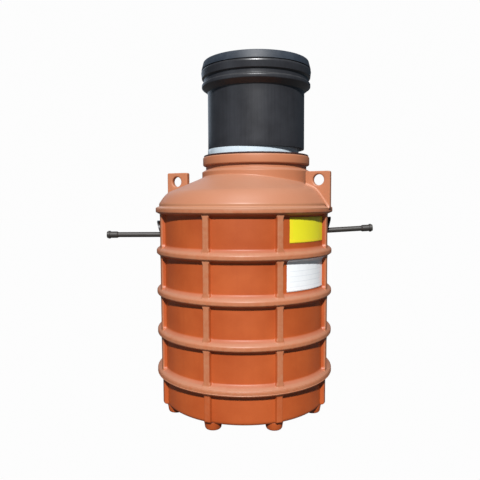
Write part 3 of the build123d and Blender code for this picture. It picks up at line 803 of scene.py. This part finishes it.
def makeStage():
    # a floor that only the camera sees as white: other rays meet a matt grey
    mesh = bpy.data.meshes.new("floorSheet")
    half = stageLook["half"]
    corners = np.array([(-half, -half, 0), (half, -half, 0), (half, half, 0), (-half, half, 0)], float)
    mesh.from_pydata(corners, [], [(0, 1, 2, 3)])
    material = bpy.data.materials.new("pale floor")
    material.use_nodes = True
    tree = material.node_tree
    matt = tree.nodes["Principled BSDF"]
    matt.inputs["Base Color"].default_value = (*stageLook["floor"], 1)
    matt.inputs["Roughness"].default_value = stageLook["roughness"]
    glow = tree.nodes.new("ShaderNodeEmission")
    ray = tree.nodes.new("ShaderNodeLightPath")
    blend = tree.nodes.new("ShaderNodeMixShader")
    part = tree.nodes.new("ShaderNodeMath")
    part.operation = "MULTIPLY"
    part.inputs[1].default_value = stageLook["floorWhite"]
    tree.links.new(ray.outputs["Is Camera Ray"], part.inputs[0])
    tree.links.new(part.outputs[0], blend.inputs[0])
    tree.links.new(matt.outputs[0], blend.inputs[1])
    tree.links.new(glow.outputs[0], blend.inputs[2])
    tree.links.new(blend.outputs[0], tree.nodes["Material Output"].inputs["Surface"])
    mesh.materials.append(material)
    floor = bpy.data.objects.new("floorSheet", mesh)
    scene.collection.objects.link(floor)


def makeWorld():
    # a dim blue sky that the camera sees as white
    world = bpy.data.worlds.new("studio")
    world.use_nodes = True
    tree = world.node_tree
    dim = tree.nodes["Background"]
    dim.inputs["Color"].default_value = (*stageLook["sky"], 1)
    dim.inputs["Strength"].default_value = stageLook["skyStrength"]
    white = tree.nodes.new("ShaderNodeBackground")
    white.inputs["Color"].default_value = (1, 1, 1, 1)
    white.inputs["Strength"].default_value = stageLook["skyWhite"]
    ray = tree.nodes.new("ShaderNodeLightPath")
    blend = tree.nodes.new("ShaderNodeMixShader")
    tree.links.new(ray.outputs["Is Camera Ray"], blend.inputs[0])
    tree.links.new(dim.outputs[0], blend.inputs[1])
    tree.links.new(white.outputs[0], blend.inputs[2])
    tree.links.new(blend.outputs[0], tree.nodes["World Output"].inputs["Surface"])
    scene.world = world


def addLamp(name, place, target, size, power, tint=(1, 1, 1)):
    lamp = bpy.data.lights.new(name, "AREA")
    lamp.shape = "RECTANGLE"
    lamp.size, lamp.size_y = size
    lamp.energy = power
    lamp.color = tint
    holder = bpy.data.objects.new(name, lamp)
    holder.location = place
    holder.rotation_euler = (Vector(target) - Vector(place)).to_track_quat("-Z", "Y").to_euler()
    scene.collection.objects.link(holder)


def addSun(name, towards, power, width):
    # parallel light from the direction towards, its disc width degrees across
    lamp = bpy.data.lights.new(name, "SUN")
    lamp.energy = power
    lamp.angle = math.radians(width)
    holder = bpy.data.objects.new(name, lamp)
    holder.rotation_euler = Vector(towards).to_track_quat("Z", "Y").to_euler()
    scene.collection.objects.link(holder)


def makeCamera():
    # pinhole found by fitting the photograph's circles: focal length and frame in pixels, angles in degrees
    shot = {
        "focal": 518.56, "frame": 480, "sensor": 36.0, "pitch": 4.192, "roll": -0.214,
        "place": (tankX - 0.0249, -3.2194, 1.2577),
    }
    lens = bpy.data.cameras.new("camera")
    lens.sensor_width = shot["sensor"]
    lens.lens = shot["focal"] / shot["frame"] * lens.sensor_width
    holder = bpy.data.objects.new("camera", lens)
    pitch = Matrix.Rotation(math.radians(90 - shot["pitch"]), 4, "X")
    roll = Matrix.Rotation(math.radians(shot["roll"]), 4, "Z")
    holder.matrix_world = Matrix.Translation(shot["place"]) @ pitch @ roll
    scene.collection.objects.link(holder)
    scene.camera = holder


makeStage()
makeWorld()
addSun("keyLight", towards=(-0.03, -0.76, 0.65), power=4.95, width=3.0)
addLamp("fillLight", (-3.6, -2.6, 2.2), (tankX, 0, 1.1), size=(2.0, 2.6), power=8, tint=(0.80, 0.88, 1.0))
addLamp("topLight", (0.0, -1.6, 4.6), (tankX, 0, 1.3), size=(1.6, 1.6), power=18)
addLamp("backLight", (-1.4, 3.4, 3.0), (tankX, 0, 1.2), size=(3.0, 2.0), power=17, tint=(0.72, 0.84, 1.0))
makeCamera()
scene.view_settings.view_transform = "Standard"
